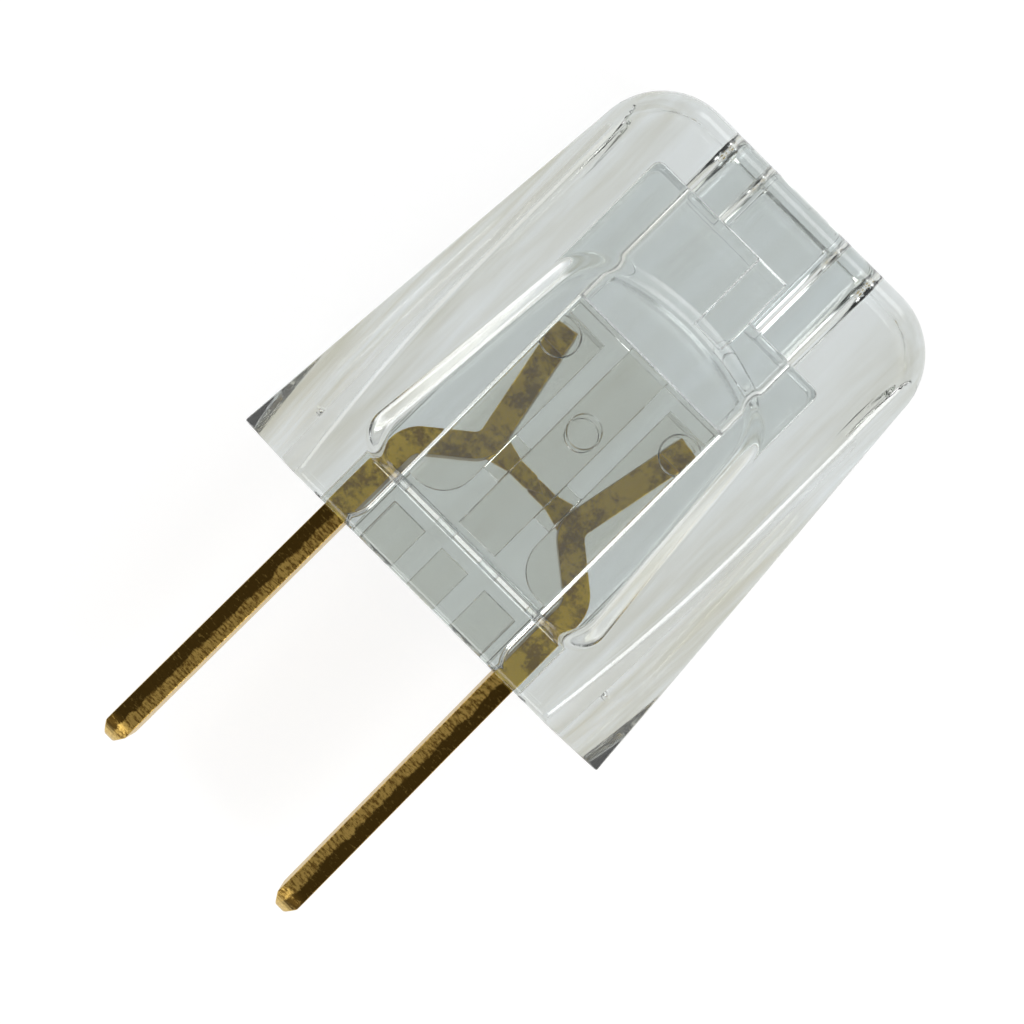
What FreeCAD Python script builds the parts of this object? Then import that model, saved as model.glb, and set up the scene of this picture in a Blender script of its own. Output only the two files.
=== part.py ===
# A clear lamp-cord plug with two flat blades, fitted to its cord without tools. All sizes are in millimetres.
# X runs across the plug from blade to blade, Y from the blades towards the cord, Z up out of a broad face.
# The origin is the middle of the front face, between the two blades. The plug lies on its lower broad face.
import FreeCAD
import Part
import math
import os

# Blades, to the sizes of a two-blade outlet
blade_pitch = 12.7  # between the middles of the two blades at the front face
blade_thickness = 1.45
blade_width = 6.35
blade_length = 17.25  # from the front face to the tip
blade_toe_out = 0.15  # how much further out each tip stands than its root
tip_corner_radius = 1.6  # seen on the flat side of the blade
tip_chamfer_side = 0.42  # taken off each side of the tip, seen on its edge
tip_chamfer_long = 0.7

# The bent lever behind each blade
bend_y = 5.6  # where the straight blade turns in
kink_x = 3.13  # the lever's nearest place to the cord
kink_y = 8.2
tail_x = 4.63
tail_y = 15.75
bend_radius = 1.6
kink_radius = 1.2
pivot_from_tail = 0.65  # the pivot's distance from the end of the tail, along Y
pivot_tab_length = 1.3
pivot_tab_height = 0.75

# The point that goes through the cord's insulation
point_y = 8.55
point_past_middle = 0.8
point_width = 0.95
point_root_width = 1.9
point_thickness = 1.0
wire_pitch = 2.6  # between the two wires of the flat cord, which lies on edge

# Cord channel
cord_thickness = 2.6
cord_play = 0.1

# Core
core_length = 17.4
core_half_width = 5.15
core_corner_radius = 0.08  # along its four long edges
plate_thickness = 1.2
plate_gap = 0.15  # between a plate and the edge of the brass strip
front_wall = 4.3
end_wall = 0.95
channel_wall = 1.1
bay_corner_radius = 2.1
point_slot_gap = 0.3
pivot_gap = 0.06
front_pocket_depth = 2.7
front_pocket_half_height = 2.5
front_rib_x = 1.0  # where each rib between the pockets in the core's front face begins
front_rib = 1.2
front_pocket_rim = 0.6
pin_mark_radius = 0.95
pin_mark_depth = 0.12
pin_mark_y = 12.4

# Fit of the core in the cover
slide_gap = 0.15
stop_gap = 0.05
blade_side_gap = 0.4
chamber_gap = 0.3  # above and below the strip

# Cover, outside
cover_length = 29.35
front_half_width = 13.4
rear_half_width = 10.74
cover_wall = 1.725  # over the core
rear_corner_radius = 4.3
rear_edge_radius = 1.2
front_edge_radius = 0.5
flat_half_width_front = 9.15  # where the broad face ends and the sloping side begins
flat_half_width_rear = 10.2
flat_widens_over = 15.0
side_slope = 1.2  # fall in Z for each millimetre across

# Arched panel in each broad face
panel_depth = 0.6
panel_bevel = 1.15
panel_front = 3.42
panel_front_bevel = 0.5
panel_bands = 8  # how many narrow faces make up the rounded slope along the panel's edge
panel_from_side = 4.4  # from the cover's side edge to the panel's edge
panel_shoulder_y = 17.2
panel_top = 21.25
panel_arch_radius = 15.6
panel_arch_corner_radius = 3.5
panel_front_corner_radius = 1.8

# Cavity behind the core
left_end_y = 25.5
right_end_y = 22.7
middle_end_y = 21.2
middle_step_x = 0.1
chamber_corner_radius = 0.5
right_step_x = 2.1
rear_step = 0.575  # the ledge that the core's plates stop at
rear_corner_rounding = 0.6  # along the long edges behind the core
mouth_flare_radius = 1.6

# Hole for the cord, which takes it flat or on edge
hole_half_width = 3.0
hole_half_height = 3.0
hole_corner_radius = 0.9
hole_slot_half_width = 5.6
hole_slot_half_height = 1.5

past = 1.0  # how far a cutting solid runs past the faces it cuts

blade_x = blade_pitch / 2
strip_half_height = blade_width / 2
plate_inner_z = strip_half_height + plate_gap
core_half_height = plate_inner_z + plate_thickness
channel_half_width = core_half_width + slide_gap
channel_half_height = core_half_height + slide_gap
half_thickness = channel_half_height + cover_wall
chamber_half_width = blade_x + blade_thickness / 2 + blade_side_gap
chamber_half_height = strip_half_height + chamber_gap
cord_half = (cord_thickness + cord_play) / 2
channel_wall_outer = cord_half + channel_wall
pivot_y = tail_y - pivot_from_tail


def vec(x, y, z=0.0):
    return FreeCAD.Vector(x, y, z)


def box(x0, x1, y0, y1, z0, z1):
    return Part.makeBox(x1 - x0, y1 - y0, z1 - z0, vec(x0, y0, z0))


def rounded_bar(half_width, half_height, radius, y0, y1):
    """A straight bar along Y with its four long edges rounded."""
    corners = [
        vec(-half_width, y0, -half_height),
        vec(half_width, y0, -half_height),
        vec(half_width, y0, half_height),
        vec(-half_width, y0, half_height),
    ]
    return Part.Face(rounded_outline(corners, [radius] * 4)).extrude(vec(0, y1 - y0, 0))


def prism(points, z0, z1):
    """A straight-sided outline in XY, raised from z0 to z1."""
    corners = [vec(x, y, z0) for x, y in points]
    face = Part.Face(Part.makePolygon(corners + corners[:1]))
    return face.extrude(vec(0, 0, z1 - z0))


def corner_arc(before, corner, after, radius):
    """Where a corner of this radius starts, passes and ends."""
    inward = (before - corner).normalize()
    outward = (after - corner).normalize()
    half = inward.getAngle(outward) / 2
    reach = radius / math.tan(half)
    bisector = (inward + outward).normalize()
    middle = corner + bisector * (radius / math.sin(half) - radius)
    return corner + inward * reach, middle, corner + outward * reach


def rounded_outline(points, radii):
    """A closed wire through these corners, each with its own radius. A radius of 0 leaves the corner sharp."""
    count = len(points)
    arcs = []
    for i in range(count):
        if radii[i] > 0:
            arcs.append(corner_arc(points[i - 1], points[i], points[(i + 1) % count], radii[i]))
        else:
            arcs.append((points[i], None, points[i]))
    edges = []
    for i in range(count):
        start, middle, end = arcs[i]
        if middle is not None:
            edges.append(Part.Arc(start, middle, end).toShape())
        edges.append(Part.makeLine(end, arcs[(i + 1) % count][0]))
    return Part.Wire(edges)


def mirrored(shape, axis):
    return shape.mirror(vec(0, 0, 0), axis)


def side_half_width(y):
    """Half the cover's width at this distance from the front face."""
    return front_half_width + (rear_half_width - front_half_width) * y / cover_length


def cover_block():
    """The outside of the cover, tapered towards the cord, with its rear corners and edges rounded."""
    corners = [
        vec(-front_half_width, 0, -half_thickness),
        vec(front_half_width, 0, -half_thickness),
        vec(rear_half_width, cover_length, -half_thickness),
        vec(-rear_half_width, cover_length, -half_thickness),
    ]
    outline = rounded_outline(corners, [0, 0, rear_corner_radius, rear_corner_radius])
    block = Part.Face(outline).extrude(vec(0, 0, 2 * half_thickness))
    rim = [edge for edge in block.Edges if is_rear_rim(edge)]
    return block.makeFillet(rear_edge_radius, rim)


def is_rear_rim(edge):
    """True for the edges of the two broad faces, apart from those on the front face."""
    box_of = edge.BoundBox
    return box_of.ZLength < 0.001 and box_of.YMax > 0.001


def slope_cutter():
    """What is taken off above the sloping side at +X, +Z. Its top edge is an arc that runs into a straight line."""
    widening = flat_half_width_rear - flat_half_width_front
    radius = (widening ** 2 + flat_widens_over ** 2) / (2 * widening)
    centre_x = flat_half_width_rear - radius

    def arc_point(y):
        return vec(centre_x + math.sqrt(radius ** 2 - (flat_widens_over - y) ** 2), y, half_thickness)

    far_x = 2 * front_half_width
    end_y = cover_length + past
    start = arc_point(-past)
    joint = vec(flat_half_width_rear, flat_widens_over, half_thickness)
    rear = vec(flat_half_width_rear, end_y, half_thickness)
    edges = [
        Part.Arc(start, arc_point(flat_widens_over / 2), joint).toShape(),
        Part.makeLine(joint, rear),
        Part.makeLine(rear, vec(far_x, end_y, half_thickness)),
        Part.makeLine(vec(far_x, end_y, half_thickness), vec(far_x, -past, half_thickness)),
        Part.makeLine(vec(far_x, -past, half_thickness), start),
    ]
    run = front_half_width - flat_half_width_front + past
    return Part.Face(Part.Wire(edges)).extrude(vec(run, 0, -run * side_slope))


def panel_outline(inset, front_inset, z):
    """The panel's outline, drawn in from its outer edge by these amounts."""
    front = panel_front + front_inset
    top = panel_top - inset
    arch = panel_arch_radius - inset
    corner = panel_arch_corner_radius - inset / 2
    front_x = side_half_width(front) - panel_from_side - inset
    shoulder_x = side_half_width(panel_shoulder_y) - panel_from_side - inset
    lean = (shoulder_x - front_x) / (panel_shoulder_y - front)
    # The side line meets the arch where their corner is, found by stepping along the line.
    y = top
    for _ in range(40):
        x = front_x + lean * (y - front)
        y = top - arch + math.sqrt(arch ** 2 - x ** 2)
    meet = vec(x, y, z)
    side = vec(front_x, front, z) - meet
    crown = vec(0, top, z)
    centre = vec(0, top - arch, z)
    # The corner's circle touches the side line from inside and the arch from inside.
    side.normalize()
    normal = vec(side.y, -side.x)
    if normal.x > 0:
        normal = normal * -1
    base = meet + normal * corner
    along = base - centre
    b = along.dot(side)
    c = along.dot(along) - (arch - corner) ** 2
    hub = base + side * (-b - math.sqrt(b ** 2 - c))
    on_side = hub - normal * corner
    on_arch = centre + (hub - centre).normalize() * arch
    mid_way = (on_side - hub).normalize() + (on_arch - hub).normalize()
    on_corner = hub + mid_way.normalize() * corner
    front_corner = vec(front_x, front, z)
    low, low_mid, low_end = corner_arc(vec(0, front, z), front_corner, on_side, panel_front_corner_radius)

    def flip(point):
        return vec(-point.x, point.y, point.z)

    return Part.Wire([
        Part.makeLine(flip(low), low),
        Part.Arc(low, low_mid, low_end).toShape(),
        Part.makeLine(low_end, on_side),
        Part.Arc(on_side, on_corner, on_arch).toShape(),
        Part.Arc(on_arch, crown, flip(on_arch)).toShape(),
        Part.Arc(flip(on_arch), flip(on_corner), flip(on_side)).toShape(),
        Part.makeLine(flip(on_side), flip(low_end)),
        Part.Arc(flip(low_end), flip(low_mid), flip(low)).toShape(),
    ])


def panel_cutter():
    """The shallow arched panel in the upper broad face. Its edge rounds over at the top and out again at the floor."""
    rings = []
    for i in range(panel_bands + 1):
        share = i / panel_bands
        drop = panel_depth * share * share * (3 - 2 * share)
        rings.append(panel_outline(panel_bevel * share, panel_front_bevel * share, half_thickness - drop))
    return Part.makeLoft(rings, True, True)


def cavity():
    """The space inside the cover: the core's channel, the strips' chamber and the stepped end."""
    rear_tall = channel_half_height - rear_step
    core_end = core_length + stop_gap
    channel_corner = core_corner_radius + slide_gap
    parts = [
        rounded_bar(channel_half_width, channel_half_height, channel_corner, -past, core_end),
        chamber(),
        stepped_end(rear_tall),
        mouth_flare(channel_corner),
    ]
    return parts[0].multiFuse(parts[1:])


def stepped_end(half_height):
    """The tall space behind the core, with its end in three steps and its long outer edges rounded."""
    wide = channel_half_width
    steps = [
        box(-wide, middle_step_x, 0, left_end_y, -half_height, half_height),
        box(-wide, right_step_x, 0, middle_end_y, -half_height, half_height),
        box(right_step_x, wide, 0, right_end_y, -half_height, half_height),
    ]
    longest = max(left_end_y, middle_end_y, right_end_y) + past
    bar = rounded_bar(wide, half_height, rear_corner_rounding, -past, longest)
    return steps[0].multiFuse(steps[1:]).common(bar)


def chamber():
    """The wide low space that the strips bend into, longer on the left than on the right."""
    wide = chamber_half_width
    z = -chamber_half_height
    corners = [
        vec(-wide, -past, z),
        vec(wide, -past, z),
        vec(wide, right_end_y, z),
        vec(right_step_x, right_end_y, z),
        vec(right_step_x, left_end_y, z),
        vec(-wide, left_end_y, z),
    ]
    r = chamber_corner_radius
    return Part.Face(rounded_outline(corners, [0, 0, r, 0, 0, r])).extrude(vec(0, 0, -2 * z))


def mouth_flare(corner_radius):
    """The rounded lead-in that widens the core's channel at the front face."""
    r = mouth_flare_radius
    inner = channel_half_width
    outer = inner + r
    slant = r * (1 - math.sqrt(0.5))

    def corner(x, y):
        return vec(x, y, -channel_half_height)

    edges = [
        Part.Arc(corner(inner, r), corner(inner + slant, slant), corner(outer, 0)).toShape(),
        Part.makeLine(corner(outer, 0), corner(outer, -past)),
        Part.makeLine(corner(outer, -past), corner(-outer, -past)),
        Part.makeLine(corner(-outer, -past), corner(-outer, 0)),
        Part.Arc(corner(-outer, 0), corner(-inner - slant, slant), corner(-inner, r)).toShape(),
        Part.makeLine(corner(-inner, r), corner(inner, r)),
    ]
    flare = Part.Face(Part.Wire(edges)).extrude(vec(0, 0, 2 * channel_half_height))
    curved = [edge for edge in flare.Edges if edge.Curve.TypeId == "Part::GeomCircle"]
    return flare.makeFillet(corner_radius, curved)


def cord_hole():
    """The hole in the back wall: a tall opening for a cord on edge, crossed by a slot for one lying flat."""
    start_y = min(right_end_y, left_end_y) - past
    end_y = cover_length + past
    opening = rounded_bar(hole_half_width, hole_half_height, hole_corner_radius, start_y, end_y)
    reach = hole_slot_half_width - hole_slot_half_height
    slot = box(-reach, reach, start_y, end_y, -hole_slot_half_height, hole_slot_half_height)
    ends = [
        Part.makeCylinder(hole_slot_half_height, end_y - start_y, vec(x, start_y, 0), vec(0, 1, 0))
        for x in (-reach, reach)
    ]
    return opening.multiFuse([slot] + ends)


def front_rim(shape):
    """The outer edges of the cover's front face on the two broad faces."""
    edges = []
    for edge in shape.Edges:
        bounds = edge.BoundBox
        on_front = bounds.YMax < 0.001
        at_height = abs(abs(bounds.ZMax) - half_thickness) < 0.001 and bounds.ZLength < 0.001
        if on_front and at_height:
            edges.append(edge)
    return edges


def make_cover():
    block = cover_block()
    slope = slope_cutter()
    low_slope = mirrored(slope, vec(0, 0, 1))
    left_slope = mirrored(slope, vec(1, 0, 0))
    low_left_slope = mirrored(left_slope, vec(0, 0, 1))
    block = block.cut([slope, low_slope, left_slope, low_left_slope])
    block = block.makeFillet(front_edge_radius, front_rim(block))
    panel = panel_cutter()
    return block.cut([panel, mirrored(panel, vec(0, 0, 1)), cavity(), cord_hole()])


def side_bay():
    """The open space at +X beside the cord channel, where a lever lies."""
    y0 = front_wall
    y1 = core_length - end_wall
    r = bay_corner_radius
    x0 = channel_wall_outer
    x1 = core_half_width + past
    z = -plate_inner_z
    slant = r * (1 - math.sqrt(0.5))
    edges = [
        Part.Arc(vec(x0 + r, y0, z), vec(x0 + slant, y0 + slant, z), vec(x0, y0 + r, z)).toShape(),
        Part.makeLine(vec(x0, y0 + r, z), vec(x0, y1, z)),
        Part.makeLine(vec(x0, y1, z), vec(x1, y1, z)),
        Part.makeLine(vec(x1, y1, z), vec(x1, y0, z)),
        Part.makeLine(vec(x1, y0, z), vec(x0 + r, y0, z)),
    ]
    return Part.Face(Part.Wire(edges)).extrude(vec(0, 0, 2 * plate_inner_z))


def pivot_holes():
    """Open-sided blind holes at +X in both plates, which the tabs on the lever's tail turn in."""
    lean = (tail_x - kink_x) / (tail_y - kink_y)
    half_length = pivot_tab_length / 2
    half_across = blade_thickness / 2 * math.hypot(1, lean) + half_length * lean
    radius = math.hypot(half_across, half_length) + pivot_gap
    depth = pivot_tab_height - plate_gap + pivot_gap
    top = Part.makeCylinder(radius, depth, vec(tail_x - lean * pivot_from_tail, pivot_y, plate_inner_z))
    return [top, mirrored(top, vec(0, 0, 1))]


def point_slot():
    """The window in the +X channel wall that the lever's point passes through."""
    half = point_root_width / 2 + point_slot_gap
    tall = point_thickness / 2 + point_slot_gap
    z = -wire_pitch / 2
    return box(0, channel_wall_outer + past, point_y - half, point_y + half, z - tall, z + tall)


def front_pockets():
    """Three blind pockets in the core's front face that keep its wall an even thickness."""
    rib_inner = front_rib_x
    rib_outer = rib_inner + front_rib
    side_outer = core_half_width - front_pocket_rim
    tall = front_pocket_half_height
    spans = [(-rib_inner, rib_inner), (rib_outer, side_outer), (-side_outer, -rib_outer)]
    return [box(x0, x1, -past, front_pocket_depth, -tall, tall) for x0, x1 in spans]


def half_turn(shape):
    """The same shape turned half round about the plug's long axis."""
    turned = shape.copy()
    turned.rotate(vec(0, 0, 0), vec(0, 1, 0), 180)
    return turned


def make_core():
    half_height = core_half_height
    block = rounded_bar(core_half_width, half_height, core_corner_radius, 0, core_length)
    right = [side_bay(), point_slot()] + pivot_holes()
    left = [half_turn(shape) for shape in right]
    channel = box(-cord_half, cord_half, front_wall, core_length + past, -plate_inner_z, plate_inner_z)
    marks = [
        Part.makeCylinder(pin_mark_radius, pin_mark_depth + past, vec(0, pin_mark_y, half_height - pin_mark_depth)),
        Part.makeCylinder(pin_mark_radius, pin_mark_depth + past, vec(0, pin_mark_y, -half_height - past)),
    ]
    return block.cut(right + left + [channel] + marks + front_pockets())


def strip_side(path, radii, offset):
    """The edges of one side of the bent strip, this far to the left of its middle line."""
    ends = []
    last = len(path) - 1
    up = vec(0, 0, 1)
    for i in range(1, last):
        start, middle, end = corner_arc(path[i - 1], path[i], path[i + 1], radii[i - 1])
        into = (path[i] - path[i - 1]).normalize()
        out = (path[i + 1] - path[i]).normalize()
        halfway = (into + out).normalize()
        ends.append((
            start + up.cross(into) * offset,
            middle + up.cross(halfway) * offset,
            end + up.cross(out) * offset,
        ))
    first_way = (path[1] - path[0]).normalize()
    last_way = (path[last] - path[last - 1]).normalize()
    at = path[0] + up.cross(first_way) * offset
    finish = path[last] + up.cross(last_way) * offset
    edges = []
    for start, middle, end in ends:
        edges.append(Part.makeLine(at, start))
        edges.append(Part.Arc(start, middle, end).toShape())
        at = end
    edges.append(Part.makeLine(at, finish))
    return edges


def strip_solid():
    """The bent strip at +X as one even thickness, tall enough for the pivot tabs."""
    z = -strip_half_height - pivot_tab_height
    half = blade_thickness / 2
    tip = vec(blade_x + blade_toe_out, -blade_length + tip_chamfer_long, z)
    path = [tip, vec(blade_x, bend_y, z), vec(kink_x, kink_y, z), vec(tail_x, tail_y, z)]
    radii = [bend_radius, kink_radius]
    left = strip_side(path, radii, half)
    right = strip_side(path, radii, -half)
    left_tip = left[0].Vertexes[0].Point
    right_tip = right[0].Vertexes[0].Point
    nose_half = half - tip_chamfer_side
    nose_y = -blade_length
    left_nose = vec(tip.x - nose_half, nose_y, z)
    right_nose = vec(tip.x + nose_half, nose_y, z)
    caps = [
        Part.makeLine(left_tip, left_nose),
        Part.makeLine(left_nose, right_nose),
        Part.makeLine(right_nose, right_tip),
        Part.makeLine(left[-1].Vertexes[-1].Point, right[-1].Vertexes[-1].Point),
    ]
    outline = Part.Wire(Part.__sortEdges__(left + right + caps))
    return Part.Face(outline).extrude(vec(0, 0, -2 * z))


def strip_side_view():
    """The strip seen on its flat side: rounded at the tip, with a tab above and below at the tail."""
    h = strip_half_height
    end_y = tail_y + past
    points = [vec(0, -blade_length, -h), vec(0, end_y, -h), vec(0, end_y, h), vec(0, -blade_length, h)]
    radii = [tip_corner_radius, 0, 0, tip_corner_radius]
    body = Part.Face(rounded_outline(points, radii)).extrude(vec(blade_x * 2, 0, 0))
    half_length = pivot_tab_length / 2
    tab = h + pivot_tab_height
    tabs = box(0, core_half_width, pivot_y - half_length, pivot_y + half_length, -tab, tab)
    return body.fuse(tabs)


def lever_point():
    """The tooth that stands in from the kink towards the cord, at the height of one wire."""
    root_x = kink_x
    neck_x = cord_half
    nose_x = -point_past_middle + point_width
    z = -wire_pitch / 2
    root = point_root_width / 2
    half = point_width / 2
    outline = [
        (root_x, point_y - root),
        (neck_x, point_y - half),
        (nose_x, point_y - half),
        (-point_past_middle, point_y),
        (nose_x, point_y + half),
        (neck_x, point_y + half),
        (root_x, point_y + root),
    ]
    return prism(outline, z - point_thickness / 2, z + point_thickness / 2)


def make_contact():
    """The brass strip at +X."""
    strip = strip_solid().common(strip_side_view())
    return strip.fuse(lever_point()).removeSplitter()


contact_right = make_contact()
nodes = {
    "cover": make_cover(),
    "core": make_core(),
    "contact_left": half_turn(contact_right),
    "contact_right": contact_right,
}

os.makedirs("parts", exist_ok=True)
for name, shape in nodes.items():
    shape.exportStep("parts/" + name + ".step")
    print(name, "solids", len(shape.Solids), "valid", shape.isValid(), "volume", round(shape.Volume, 1))
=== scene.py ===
import math

import bmesh
import bpy
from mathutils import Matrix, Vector


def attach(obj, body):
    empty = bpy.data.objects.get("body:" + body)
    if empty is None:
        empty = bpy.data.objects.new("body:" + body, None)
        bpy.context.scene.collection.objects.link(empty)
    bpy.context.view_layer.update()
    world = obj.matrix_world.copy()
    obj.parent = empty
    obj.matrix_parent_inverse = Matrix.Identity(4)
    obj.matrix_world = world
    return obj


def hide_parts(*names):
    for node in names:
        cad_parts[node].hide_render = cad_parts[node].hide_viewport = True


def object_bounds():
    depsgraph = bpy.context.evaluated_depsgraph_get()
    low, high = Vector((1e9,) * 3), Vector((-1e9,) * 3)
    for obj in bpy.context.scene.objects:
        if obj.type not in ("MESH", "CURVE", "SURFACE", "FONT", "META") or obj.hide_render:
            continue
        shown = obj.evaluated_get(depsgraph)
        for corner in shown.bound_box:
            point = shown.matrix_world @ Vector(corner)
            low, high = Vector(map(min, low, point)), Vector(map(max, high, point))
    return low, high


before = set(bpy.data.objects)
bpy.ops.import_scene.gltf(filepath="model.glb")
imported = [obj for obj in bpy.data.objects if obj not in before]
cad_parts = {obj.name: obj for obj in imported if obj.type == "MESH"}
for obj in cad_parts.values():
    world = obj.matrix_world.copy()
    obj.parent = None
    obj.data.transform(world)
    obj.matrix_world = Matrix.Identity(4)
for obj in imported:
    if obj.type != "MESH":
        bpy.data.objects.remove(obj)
cad_low, cad_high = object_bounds()

bl_info = {
    "name": "Clear Plug Looks",
    "version": (1, 0, 0),
    "blender": (4, 5, 0),
    "location": "3D View > Sidebar > Clear Plug",
    "description": "Clear mouldings, brass contacts and studio for a two-blade lamp-cord plug",
    "category": "Object",
}


# Settings

def colour(name, description, default):
    return bpy.props.FloatVectorProperty(
        name=name, description=description, default=default, subtype="COLOR", size=3, min=0, max=1)


def length(name, description, default, least=0, precision=5):
    return bpy.props.FloatProperty(
        name=name, description=description, default=default, min=least, unit="LENGTH", precision=precision)


def factor(name, description, default):
    return bpy.props.FloatProperty(
        name=name, description=description, default=default, min=0, max=1, subtype="FACTOR")


def amount(name, description, default, **limits):
    return bpy.props.FloatProperty(name=name, description=description, default=default, **limits)


class ClearMouldingSettings(bpy.types.PropertyGroup):
    """The clear plastic of the cover and the core."""
    cover_tint: colour(
        "Cover tint", "Colour that light keeps after it has gone through the cover", (0.80, 0.838, 0.842))
    core_tint: colour(
        "Core tint", "Colour that light keeps after it has gone through the core", (0.985, 0.98, 0.94))
    # Painted reflection and shade: this warm dark colour stands in for reflections of the brass and for shade
    # on the cover's sides
    painted_streak_tint: colour(
        "Streak tint", "Colour that light keeps after it has gone through a flow streak", (0.50, 0.48, 0.36))
    depth_colour: colour("Depth colour", "Colour that deep plastic turns", (0.60, 0.68, 0.67))
    depth_density: amount("Depth density", "How fast deep plastic darkens, for each metre", 5, min=0)
    refraction: amount("Refractive index", "How strongly the plastic bends light", 1.56, min=1, max=2)
    polish: factor("Roughness", "Roughness of the polished faces", 0.02)
    haze: factor("Haze", "Share of the light that the surface scatters", 0.018)
    waviness: length(
        "Waviness", "Height of the soft waves that the mould leaves in the faces", 0.000006, precision=6)
    edge_radius: length("Edge radius", "Moulded radius along the edges of the cover", 0.00012)
    crease_radius: length(
        "Crease radius", "Moulded radius where a broad face turns into a sloping side", 0.0003)
    core_edge_radius: length("Core edge radius", "Moulded radius along the edges of the core", 0.00007)


class BrassContactSettings(bpy.types.PropertyGroup):
    """The stamped brass strips."""
    bright: colour("Torn brass", "Colour of the torn grain along the strip's edges", (0.58, 0.38, 0.10))
    pit: colour("Pits", "Colour of the marks in the torn grain", (0.16, 0.09, 0.018))
    # Painted shade: the dark band's colour stands in for the dark reflection in the smooth half of each
    # sheared edge
    dark: colour(
        "Dark band", "Colour of the smooth tarnished band that the punch left", (0.075, 0.042, 0.008))
    clean: colour(
        "Clean brass", "Colour of the strips' edges inside the cover, where no hand has tarnished them",
        (1.0, 0.68, 0.06))
    clean_dark: colour(
        "Clean brass patches", "Colour of the darker patches inside the cover", (0.40, 0.24, 0.02))
    rolled: colour("Rolled brass", "Colour of the strip's flat faces", (0.72, 0.53, 0.20))
    rolled_dark: colour(
        "Rolling lines", "Colour of the fine lines along the strip's flat faces", (0.52, 0.36, 0.12))
    blade_spacing: length(
        "Blade spacing", "From the middle of one blade to the middle of the other at the cover", 0.0127)
    blade_lean: amount(
        "Blade lean", "How far each blade leans to the middle for each metre along it", 0.0087, precision=4)
    edge_radius: length("Edge radius", "Radius that the punch leaves along the strip", 0.00006)


class StudioSettings(bpy.types.PropertyGroup):
    """The floor, the lamps and the camera."""
    camera_height: length(
        "Camera height", "Height of the camera above the middle of the plug", 0.22, least=0.05, precision=2)
    frame_width: length(
        "Frame width", "Width of what the camera sees at the middle of the plug", 0.05556, least=0.01)
    floor_colour: colour("Floor colour", "Colour of the floor", (0.25, 0.25, 0.25))
    floor_glow: amount("Floor glow", "What is added to the lit floor so that it shows white", 0.84, min=0)
    floor_gap: length("Gap under the plug", "Sliver of air between the plug and the floor", 0.00003)
    ceiling: amount("Overhead light", "Strength of the light from straight above", 0.45, min=0)
    horizon: amount("Light from all round", "Strength of the light from low down all round", 1.2, min=0)
    side_lamps: amount(
        "Side lamps", "Strength of the two soft lamps beside the plug's long sides", 7, min=0)
    end_lamps: amount("End lamps", "Strength of the two soft lamps beyond the plug's ends", 4, min=0)
    lamp_balance: amount(
        "Lamp balance", "How much stronger the right lamp is than the left one", 0.4, min=-1, max=1)


SETTINGS = {
    "plug_clear": ClearMouldingSettings,
    "plug_brass": BrassContactSettings,
    "plug_studio": StudioSettings,
}


# Materials

def new_material(name):
    """An empty node material with its output node."""
    material = bpy.data.materials.new(name)
    material.use_nodes = True
    material.node_tree.nodes.clear()
    out = material.node_tree.nodes.new("ShaderNodeOutputMaterial")
    return material, material.node_tree.nodes, material.node_tree.links, out


def place_on_object(nodes, links, stretch=(1, 1, 1)):
    """The point's own place on the piece in metres, with each direction stretched by this much."""
    where = nodes.new("ShaderNodeTexCoord")
    scale = nodes.new("ShaderNodeMapping")
    scale.inputs["Scale"].default_value = stretch
    links.new(where.outputs["Object"], scale.inputs["Vector"])
    return scale.outputs["Vector"]


def noise(nodes, links, place, scale, detail, roughness):
    """Soft noise from 0 to 1, whose marks are about one part in scale of a metre."""
    texture = nodes.new("ShaderNodeTexNoise")
    texture.inputs["Scale"].default_value = scale
    texture.inputs["Detail"].default_value = detail
    texture.inputs["Roughness"].default_value = roughness
    links.new(place, texture.inputs["Vector"])
    return texture.outputs["Fac"]


def spread(nodes, links, value, low, high, to_low=0, to_high=1):
    """Maps low to to_low and high to to_high, and holds what lies past them."""
    ramp = nodes.new("ShaderNodeMapRange")
    ramp.inputs["From Min"].default_value = low
    ramp.inputs["From Max"].default_value = high
    ramp.inputs["To Min"].default_value = to_low
    ramp.inputs["To Max"].default_value = to_high
    links.new(value, ramp.inputs["Value"])
    return ramp.outputs["Result"]


def calculate(nodes, links, operation, first, second=0):
    """The result of one operation on two values, each of which is an output or a plain number."""
    node = nodes.new("ShaderNodeMath")
    node.operation = operation
    for socket, value in zip(node.inputs, (first, second)):
        if isinstance(value, (int, float)):
            socket.default_value = value
        else:
            links.new(value, socket)
    return node.outputs[0]


def separate(nodes, links, vector):
    """The X, Y and Z of a vector."""
    node = nodes.new("ShaderNodeSeparateXYZ")
    links.new(vector, node.inputs[0])
    return node.outputs["X"], node.outputs["Y"], node.outputs["Z"]


def blend(nodes, links, much, none, full):
    """A colour between two, each of which is an output or a plain colour."""
    node = nodes.new("ShaderNodeMix")
    node.data_type = "RGBA"
    links.new(much, node.inputs[0])
    for socket, value in ((node.inputs[6], none), (node.inputs[7], full)):
        if isinstance(value, bpy.types.NodeSocket):
            links.new(value, socket)
        else:
            socket.default_value = (*value, 1)
    return node.outputs[2]


def bump(nodes, links, shader, height, distance):
    """Relief on a shader's surface, whose height 1 stands this far out."""
    node = nodes.new("ShaderNodeBump")
    node.inputs["Strength"].default_value = 1
    node.inputs["Distance"].default_value = distance
    links.new(height, node.inputs["Height"])
    links.new(node.outputs["Normal"], shader.inputs["Normal"])


PAINTED_STREAK_STRETCH = (1, 0.09, 1)  # draws the painted streaks out along the plug
RUB_STRETCH = (9, 1, 9)  # makes the rub marks narrow, so that they run along the plug
STREAKS_FROM = 0.0070  # how far out from the middle the painted streaks begin to strengthen
STREAKS_FULL = 0.0110  # and how far out they are full
STREAKS_INSIDE = 0.15  # strength of the painted streaks in the middle
HAZE_MOST, HAZE_LEAST = 1.5, 0.5  # the haze in the surface's clouds and between them, in settings
RUB_ROUGHNESS = 0.1  # what a rub mark adds to the roughness


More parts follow.
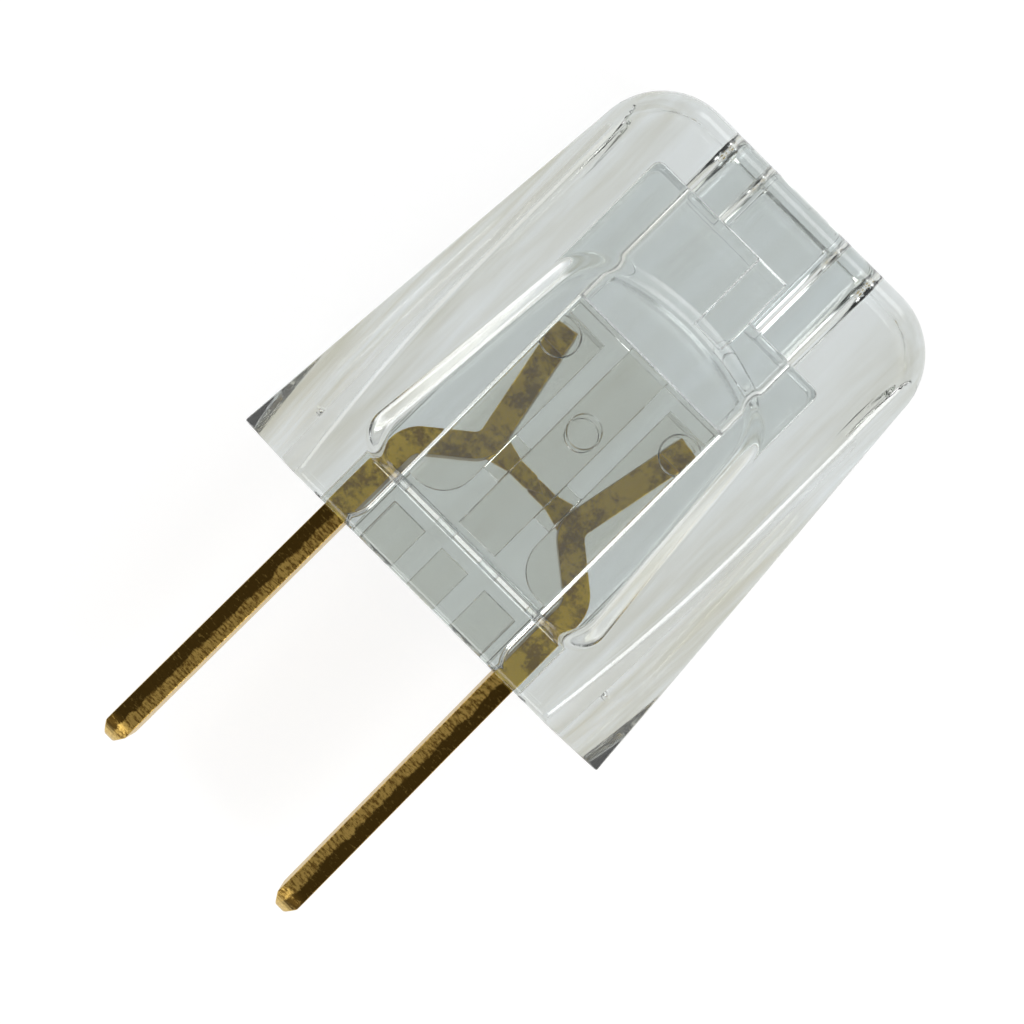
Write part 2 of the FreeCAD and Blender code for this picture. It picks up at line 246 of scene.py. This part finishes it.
def clear_plastic(name, tint, painted_streak_tint, settings):
    """Clear moulded plastic: slightly wavy faces, a little haze in the surface, fine rub marks, and faint
    warm streaks along the plug, painted reflection of the brass and painted shade, which show most towards
    the sides."""
    material, nodes, links, out = new_material(name)
    place = place_on_object(nodes, links)
    shader = nodes.new("ShaderNodeBsdfPrincipled")
    shader.inputs["IOR"].default_value = settings.refraction

    # Painted reflection and shade: warm dark streaks along the plug, strongest towards the sides
    along_painted_streaks = place_on_object(nodes, links, PAINTED_STREAK_STRETCH)
    painted = noise(nodes, links, along_painted_streaks, scale=700, detail=3, roughness=0.6)
    outwards = calculate(nodes, links, "ABSOLUTE", separate(nodes, links, place)[0])
    towards_sides = spread(nodes, links, outwards, STREAKS_FROM, STREAKS_FULL, to_low=STREAKS_INSIDE)
    streaks = calculate(nodes, links, "MULTIPLY", spread(nodes, links, painted, low=0.35, high=0.65), towards_sides)
    links.new(blend(nodes, links, streaks, tint, painted_streak_tint), shader.inputs["Base Color"])

    clouds = noise(nodes, links, place, scale=260, detail=4, roughness=0.6)
    clearness = spread(
        nodes, links, clouds, low=0.3, high=0.7, to_low=1 - settings.haze * HAZE_MOST,
        to_high=1 - settings.haze * HAZE_LEAST)
    links.new(clearness, shader.inputs["Transmission Weight"])

    along_rubs = place_on_object(nodes, links, RUB_STRETCH)
    rubs = noise(nodes, links, along_rubs, scale=420, detail=5, roughness=0.7)
    roughness = spread(
        nodes, links, rubs, low=0.5, high=0.8, to_low=settings.polish,
        to_high=settings.polish + RUB_ROUGHNESS)
    links.new(roughness, shader.inputs["Roughness"])

    waves = noise(nodes, links, place, scale=330, detail=1, roughness=0.4)
    bump(nodes, links, shader, waves, settings.waviness)
    links.new(shader.outputs["BSDF"], out.inputs["Surface"])

    depth = nodes.new("ShaderNodeVolumeAbsorption")
    depth.inputs["Color"].default_value = (*settings.depth_colour, 1)
    depth.inputs["Density"].default_value = settings.depth_density
    links.new(depth.outputs["Volume"], out.inputs["Volume"])
    return material


BAND_FROM, BAND_FULL = -0.00009, 0.00003  # the painted dark band's ragged side, out from the thickness's middle
BAND_WANDER = 0.00018  # how far that side strays either way
INSIDE_FROM, INSIDE_FULL = -0.0002, 0.0004  # where, along the plug, brass with the painted dark band turns into clean brass
TEAR_STRETCH = (1, 3.2, 1)  # makes the torn marks short along the strip
LINE_STRETCH = (1, 0.04, 1)  # draws the rolling lines out along the strip
FINE_GRAIN = 0.45  # share of the fine mottle in the torn grain
DARK_SPECKLE = 0.55  # how far the marks in the painted dark band brighten
GRAIN_DEPTH = 0.000012
TORN_ROUGH, TORN_SMOOTH = 0.5, 0.3  # roughness in the grain's pits and on its ridges


def brass(name, settings):
    """Stamped brass strip. Its long edges have a dark band along one side, painted shade that stands in for
    the dark reflection in their smooth half, and torn golden grain along the other, and its flat faces have
    fine rolling lines. Inside the cover its edges are clean and patchy, without the painted band."""
    material, nodes, links, out = new_material(name)
    place = place_on_object(nodes, links)
    x, y, _ = separate(nodes, links, place)

    # How far the point lies out from the middle of the blade's thickness
    out_from_middle = calculate(nodes, links, "ABSOLUTE", x)
    lean = calculate(nodes, links, "MULTIPLY", y, settings.blade_lean)
    middle = calculate(nodes, links, "SUBTRACT", settings.blade_spacing / 2, lean)
    across = calculate(nodes, links, "SUBTRACT", out_from_middle, middle)
    ragged = noise(nodes, links, place, scale=900, detail=5, roughness=0.7)
    wander = spread(nodes, links, ragged, low=0.3, high=0.7, to_low=-BAND_WANDER, to_high=BAND_WANDER)
    band_place = calculate(nodes, links, "ADD", across, wander)
    # Painted shade: a dark band along the outer side of each edge outside the cover, for the reflection in
    # its smooth half
    band = spread(nodes, links, band_place, BAND_FROM, BAND_FULL)
    outside = spread(nodes, links, y, INSIDE_FROM, INSIDE_FULL, to_low=1, to_high=0)
    painted_shade_band = calculate(nodes, links, "MULTIPLY", band, outside)

    # Torn grain: short marks across the strip over a fine mottle
    along_tears = place_on_object(nodes, links, TEAR_STRETCH)
    tears = noise(nodes, links, along_tears, scale=2100, detail=4, roughness=0.7)
    mottle = noise(nodes, links, place, scale=7000, detail=4, roughness=0.7)
    grain = calculate(nodes, links, "ADD", calculate(nodes, links, "MULTIPLY", mottle, FINE_GRAIN), tears)
    speckle = spread(nodes, links, grain, low=0.62, high=0.80)
    golden = blend(nodes, links, speckle, settings.pit, settings.bright)
    dark_speckle = spread(nodes, links, grain, low=0.80, high=1.0, to_high=DARK_SPECKLE)
    darkened = blend(nodes, links, dark_speckle, settings.dark, settings.bright)
    # The painted dark band goes over the golden grain on the edges outside the cover
    shaded = blend(nodes, links, painted_shade_band, golden, darkened)
    patches = noise(nodes, links, place, scale=700, detail=5, roughness=0.75)
    clean = blend(
        nodes, links, spread(nodes, links, patches, low=0.42, high=0.55), settings.clean_dark, settings.clean)
    edge_colour = blend(nodes, links, outside, clean, shaded)

    # The flat faces look brighter, with lines along the strip
    along_lines = place_on_object(nodes, links, LINE_STRETCH)
    lines = noise(nodes, links, along_lines, scale=9000, detail=3, roughness=0.6)
    rolled = blend(
        nodes, links, spread(nodes, links, lines, low=0.35, high=0.65), settings.rolled_dark, settings.rolled)
    shape = nodes.new("ShaderNodeNewGeometry")
    facing_up = separate(nodes, links, shape.outputs["True Normal"])[2]
    sheared = spread(nodes, links, calculate(nodes, links, "ABSOLUTE", facing_up), low=0.6, high=0.8)

    shader = nodes.new("ShaderNodeBsdfPrincipled")
    shader.inputs["Metallic"].default_value = 1
    links.new(blend(nodes, links, sheared, rolled, edge_colour), shader.inputs["Base Color"])
    roughness = spread(nodes, links, grain, low=0.5, high=0.9, to_low=TORN_ROUGH, to_high=TORN_SMOOTH)
    links.new(roughness, shader.inputs["Roughness"])
    bump(nodes, links, shader, grain, GRAIN_DEPTH)
    links.new(shader.outputs["BSDF"], out.inputs["Surface"])
    return material


def seen_rays(nodes, links):
    """1 for camera, glossy and transmission rays, and 0 for the rest."""
    path = nodes.new("ShaderNodeLightPath")
    first = calculate(nodes, links, "MAXIMUM", path.outputs["Is Camera Ray"], path.outputs["Is Glossy Ray"])
    return calculate(nodes, links, "MAXIMUM", first, path.outputs["Is Transmission Ray"])


def floor_material(settings):
    """Grey that is lit, plus its own glow, which only some rays see. Both together look white."""
    material, nodes, links, out = new_material("studio_floor")
    base = nodes.new("ShaderNodeBsdfDiffuse")
    base.inputs["Color"].default_value = (*settings.floor_colour, 1)
    glow = nodes.new("ShaderNodeEmission")
    strength = calculate(nodes, links, "MULTIPLY", seen_rays(nodes, links), settings.floor_glow)
    links.new(strength, glow.inputs["Strength"])
    both = nodes.new("ShaderNodeAddShader")
    links.new(base.outputs[0], both.inputs[0])
    links.new(glow.outputs[0], both.inputs[1])
    links.new(both.outputs[0], out.inputs["Surface"])
    return material


# The world's light comes from directions, each part of which runs from -1 to 1.
LAMP_FROM, LAMP_FULL = 0.62, 0.72  # how far towards its end a lamp begins and is full
LAMP_HALF_WIDTH, LAMP_FADED = 0.12, 0.24  # how far across a lamp is full and has faded out
LAMP_BOTTOM, LAMP_TOP = 0.3, 0.45  # how far up a lamp begins and is full
HORIZON_UP_TO, CEILING_FROM = 0.15, 0.45  # how far up the horizon's light ends and the ceiling's is full
BALANCE_WIDTH = 0.5  # how far across the left lamp's strength has turned into the right lamp's


def lamp_pair(nodes, links, towards, across, up, strength):
    """Two soft lamps half way up, at either end of one direction."""
    towards, across = (calculate(nodes, links, "ABSOLUTE", way) for way in (towards, across))
    far = spread(nodes, links, towards, LAMP_FROM, LAMP_FULL, to_high=strength)
    within = spread(nodes, links, across, LAMP_HALF_WIDTH, LAMP_FADED, to_low=1, to_high=0)
    above = spread(nodes, links, up, LAMP_BOTTOM, LAMP_TOP)
    return calculate(nodes, links, "MULTIPLY", calculate(nodes, links, "MULTIPLY", far, within), above)


def studio_world(settings):
    """Light from all round and overhead, with four soft lamps in it."""
    world = bpy.data.worlds.new("studio_world")
    world.use_nodes = True
    nodes, links = world.node_tree.nodes, world.node_tree.links
    nodes.clear()
    out = nodes.new("ShaderNodeOutputWorld")
    sky = nodes.new("ShaderNodeBackground")
    where = nodes.new("ShaderNodeTexCoord")
    x, y, up = separate(nodes, links, where.outputs["Generated"])
    base = spread(nodes, links, up, HORIZON_UP_TO, CEILING_FROM, settings.horizon, settings.ceiling)
    balance = spread(
        nodes, links, x, -BALANCE_WIDTH, BALANCE_WIDTH, 1 - settings.lamp_balance, 1 + settings.lamp_balance)
    sides = lamp_pair(nodes, links, x, y, up, settings.side_lamps)
    sides = calculate(nodes, links, "MULTIPLY", sides, balance)
    ends = lamp_pair(nodes, links, y, x, up, settings.end_lamps)
    total = calculate(nodes, links, "ADD", calculate(nodes, links, "ADD", base, sides), ends)
    links.new(total, sky.inputs["Strength"])
    links.new(sky.outputs[0], out.inputs["Surface"])
    return world


# Meshes

NORMALS_APART = math.radians(20)  # faces whose normals differ by more than this meet in a crisp edge
FLAT = 0.004  # faces that lean less than this from each other are one flat face
SAME_PLACE = 1e-7  # corners closer than this are one corner
DOUBLED = math.radians(8)  # crisp edges that leave a corner this close together are a sliver
BLUNT = math.radians(60)  # the outer creases lean less than this
CREASE_FROM = 0.009  # how far out from the middle they lie
CREASE_DEPTH = 0.0007  # how far below a broad face their front ends reach
EDGE_STEPS = 2  # faces across a rounded edge
CREASE_STEPS = 4  # faces across a rounded outer crease
AREA_POWER = 1.5  # a face counts in a corner's normal by this power of its area
RAISED = 1e9  # keeps the sums of such small numbers from vanishing
WHOLE_FACE = 4  # faces with more corners than this can have tangled outlines


def merged_copy(node):
    """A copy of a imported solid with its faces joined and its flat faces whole, and its crisp edges."""
    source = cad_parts[node].data
    normals = [Vector(n.vector) for n in source.corner_normals]
    mesh = bmesh.new()
    mesh.from_mesh(source)
    keep = mesh.loops.layers.float_vector.new("cad_normal")
    for face in mesh.faces:
        for loop in face.loops:
            loop[keep] = normals[loop.index]
    bmesh.ops.remove_doubles(mesh, verts=mesh.verts, dist=SAME_PLACE)
    crisp = {edge for edge in mesh.edges if is_crisp(edge, keep)}
    flat = [edge for edge in mesh.edges if edge not in crisp and edge.calc_face_angle(0) < FLAT]
    bmesh.ops.dissolve_edges(mesh, edges=flat, use_verts=False, use_face_split=False)
    mesh.loops.layers.float_vector.remove(keep)
    crisp = {edge for edge in crisp if edge.is_valid}
    return mesh, [edge for edge in crisp if not is_doubled(edge, crisp)]


def is_crisp(edge, keep):
    """True where the two faces that meet at this edge have different normals there."""
    for vert in edge.verts:
        here = [loop[keep] for face in edge.link_faces for loop in face.loops if loop.vert == vert]
        if here[0].angle(here[1], 0) > NORMALS_APART:
            return True
    return False


def is_doubled(edge, crisp):
    """True for the shorter of two crisp edges that leave a corner in nearly the same direction. Rounding both
    would throw the corner far out of the piece."""
    for vert in edge.verts:
        along = edge.other_vert(vert).co - vert.co
        for other in vert.link_edges:
            if other != edge and other in crisp:
                beside = other.other_vert(vert).co - vert.co
                if along.angle(beside, math.pi) < DOUBLED and along.length < beside.length:
                    return True
    return False


def is_outer_crease(edge):
    """True for the blunt edge where a broad face, or its rounded front, turns into a sloping side."""
    middle = (edge.verts[0].co + edge.verts[1].co) / 2
    along = edge.verts[0].co - edge.verts[1].co
    near_broad_face = min(abs(middle.z - cad_low.z), abs(middle.z - cad_high.z)) < CREASE_DEPTH
    lengthways = abs(along.y) > abs(along.x)
    blunt = edge.calc_face_angle(0) < BLUNT
    return near_broad_face and lengthways and blunt and abs(middle.x) > CREASE_FROM


def round_edges(mesh, edges, radius, steps):
    """Rounds crisp edges without holding back where they run close together."""
    bmesh.ops.bevel(
        mesh, geom=edges, offset=radius, offset_type="OFFSET", segments=steps, profile=0.5, affect="EDGES",
        clamp_overlap=False, loop_slide=False)


def round_creases(mesh, crisp, radius):
    """Rounds the outer creases in a pass of their own, so that two radii never meet along one line, and
    returns the crisp edges that are left."""
    for edge in mesh.edges:
        edge.smooth = True
    for edge in crisp:
        edge.smooth = False
    round_edges(mesh, [edge for edge in crisp if is_outer_crease(edge)], radius, CREASE_STEPS)
    return [edge for edge in mesh.edges if not edge.smooth and edge.calc_face_angle(0) > NORMALS_APART]


def crossing(face):
    """Where a face's outline crosses itself, as the loops that start the two sides and how far along them it
    lies, or None. Of several crossings it is the one that ties off the longest stretch."""
    loops = list(face.loops)
    places = [loop.vert.co for loop in loops]
    count = len(places)
    sides = [places[k] - places[k - 1] for k in range(count)]
    axis_x = max(sides, key=lambda side: side.length).normalized()
    axis_y = face.normal.cross(axis_x)
    flat = [Vector((place.dot(axis_x), place.dot(axis_y))) for place in places]
    lengths = [(flat[(k + 1) % count] - flat[k]).length for k in range(count)]
    found, longest = None, -1
    for first in range(count):
        for second in range(first + 2, count - (first == 0)):
            shares = sides_cross(flat[first], flat[first + 1], flat[second], flat[(second + 1) % count])
            if shares:
                tied_off = sum(lengths[first + 1:second])
                shorter = min(tied_off, sum(lengths) - tied_off)
                if shorter > longest:
                    longest = shorter
                    found = (loops[first], shares[0], loops[second], shares[1])
    return found


def sides_cross(a, b, c, d):
    """How far along the line from a to b and the line from c to d the two cross, or None."""
    along, beside, gap = b - a, d - c, c - a
    turn = along.cross(beside)
    if turn == 0:
        return None
    first, second = gap.cross(beside) / turn, gap.cross(along) / turn
    return (first, second) if 0 < first < 1 and 0 < second < 1 else None


def cut_tangles(mesh):
    """Parts each face whose outline crosses itself, at the crossing. Left whole, it would turn into false
    sheets across its openings."""
    left = [face for face in mesh.faces if len(face.verts) > WHOLE_FACE]
    while left:
        face = left.pop()
        found = crossing(face)
        if found:
            first, first_share, second, second_share = found
            second_vert = split_side(second, second_share)
            first_vert = split_side(first, first_share)
            second_vert.co = first_vert.co
            part, _ = bmesh.utils.face_split(face, first_vert, second_vert)
            part.normal_update()
            face.normal_update()
            left += [piece for piece in (face, part) if len(piece.verts) > WHOLE_FACE]


def split_side(loop, share):
    """A new corner this share of the way along one side of a face."""
    return bmesh.utils.edge_split(loop.edge, loop.vert, share)[1]


def shading_normals(mesh):
    """A normal for each corner, in which the larger faces count for most, so that flat faces look flat."""
    found = []
    for vert in mesh.verts:
        total = Vector()
        for face in vert.link_faces:
            total += face.normal * face.calc_area() ** AREA_POWER * RAISED
        found.append(total.normalized())
    return found


def rounded_piece(name, node, body, radius, material, crease_radius=0):
    """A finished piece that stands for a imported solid, with its crisp edges rounded."""
    mesh, crisp = merged_copy(node)
    if crease_radius:
        crisp = round_creases(mesh, crisp, crease_radius)
    round_edges(mesh, crisp, radius, EDGE_STEPS)
    mesh.normal_update()
    cut_tangles(mesh)
    for face in mesh.faces:
        face.smooth = True
    mesh.normal_update()
    normals = shading_normals(mesh)
    data = bpy.data.meshes.new(name)
    mesh.to_mesh(data)
    mesh.free()
    data.normals_split_custom_set_from_vertices(normals)
    data.materials.append(material)
    piece = bpy.data.objects.new(name, data)
    bpy.context.scene.collection.objects.link(piece)
    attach(piece, body)
    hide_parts(node)
    return piece


# Floor and camera

FLOOR_RADIUS = 4
FLOOR_SIDES = 96
SENSOR_WIDTH = 36  # in millimetres, as Blender gives it
CAMERA_PLACE = (0.0003, 0.00667)  # the point under the middle of the picture
CAMERA_TURN = math.pi / 4
CLIP_NEAR, CLIP_FAR = 0.005, 20


def studio_floor(settings):
    """A wide round floor just under the plug."""
    mesh = bmesh.new()
    bmesh.ops.create_circle(mesh, cap_ends=True, segments=FLOOR_SIDES, radius=FLOOR_RADIUS)
    data = bpy.data.meshes.new("studio_floor")
    mesh.to_mesh(data)
    mesh.free()
    data.materials.append(floor_material(settings))
    floor = bpy.data.objects.new("studio_floor", data)
    floor.location.z = cad_low.z - settings.floor_gap
    bpy.context.scene.collection.objects.link(floor)


def studio_camera(settings):
    """A camera straight above, turned so that the plug lies aslant as in the photo."""
    lens = bpy.data.cameras.new("camera")
    lens.sensor_width = SENSOR_WIDTH
    lens.lens = SENSOR_WIDTH * settings.camera_height / settings.frame_width
    lens.clip_start = CLIP_NEAR
    lens.clip_end = CLIP_FAR
    camera = bpy.data.objects.new("camera", lens)
    camera.location = (*CAMERA_PLACE, settings.camera_height)
    camera.rotation_euler = (0, 0, CAMERA_TURN)
    bpy.context.scene.collection.objects.link(camera)
    return camera


# Operators

class PLUG_OT_cover(bpy.types.Operator):
    """Makes the clear cover"""
    bl_idname = "plug.cover"
    bl_label = "Clear cover"

    def execute(self, context):
        settings = context.scene.plug_clear
        material = clear_plastic("clear_cover_plastic", settings.cover_tint, settings.painted_streak_tint, settings)
        piece = rounded_piece(
            "clear_cover", "cover", "housing", settings.edge_radius, material, settings.crease_radius)
        return {"FINISHED"}


class PLUG_OT_core(bpy.types.Operator):
    """Makes the clear core that slides in the cover"""
    bl_idname = "plug.core"
    bl_label = "Clear core"

    def execute(self, context):
        settings = context.scene.plug_clear
        material = clear_plastic("clear_core_plastic", settings.core_tint, settings.core_tint, settings)
        piece = rounded_piece("clear_core", "core", "slide_out", settings.core_edge_radius, material)
        return {"FINISHED"}


class PLUG_OT_contacts(bpy.types.Operator):
    """Makes the two brass strips"""
    bl_idname = "plug.contacts"
    bl_label = "Brass contacts"

    def execute(self, context):
        settings = context.scene.plug_brass
        material = brass("stamped_brass", settings)
        for side in ("left", "right"):
            piece = rounded_piece(
                "brass_" + side, "contact_" + side, "slide_out", settings.edge_radius, material)
        return {"FINISHED"}


class PLUG_OT_studio(bpy.types.Operator):
    """Makes the floor, the lamps and the camera"""
    bl_idname = "plug.studio"
    bl_label = "Studio"

    def execute(self, context):
        settings = context.scene.plug_studio
        scene = context.scene
        scene.view_settings.view_transform = "Standard"
        studio_floor(settings)
        scene.world = studio_world(settings)
        scene.camera = studio_camera(settings)
        return {"FINISHED"}


class PLUG_PT_looks(bpy.types.Panel):
    """Lists the pieces of the plug and the studio"""
    bl_idname = "PLUG_PT_looks"
    bl_label = "Clear Plug"
    bl_space_type = "VIEW_3D"
    bl_region_type = "UI"
    bl_category = "Clear Plug"

    def draw(self, context):
        for settings, operators in (
            ("plug_clear", ("plug.cover", "plug.core")),
            ("plug_brass", ("plug.contacts",)),
            ("plug_studio", ("plug.studio",)),
        ):
            group = getattr(context.scene, settings)
            part = self.layout.box()
            for key in group.bl_rna.properties.keys():
                if key not in ("rna_type", "name"):
                    part.prop(group, key)
            for operator in operators:
                part.operator(operator)


OPERATORS = (PLUG_OT_cover, PLUG_OT_core, PLUG_OT_contacts, PLUG_OT_studio)


def register():
    for name, group in SETTINGS.items():
        bpy.utils.register_class(group)
        setattr(bpy.types.Scene, name, bpy.props.PointerProperty(type=group))
    for operator in OPERATORS:
        bpy.utils.register_class(operator)
    bpy.utils.register_class(PLUG_PT_looks)


def unregister():
    bpy.utils.unregister_class(PLUG_PT_looks)
    for operator in reversed(OPERATORS):
        bpy.utils.unregister_class(operator)
    for name, group in SETTINGS.items():
        delattr(bpy.types.Scene, name)
        bpy.utils.unregister_class(group)


def main():
    register()
    bpy.ops.plug.studio()
    bpy.ops.plug.cover()
    bpy.ops.plug.core()
    bpy.ops.plug.contacts()


if __name__ == "__main__":
    main()
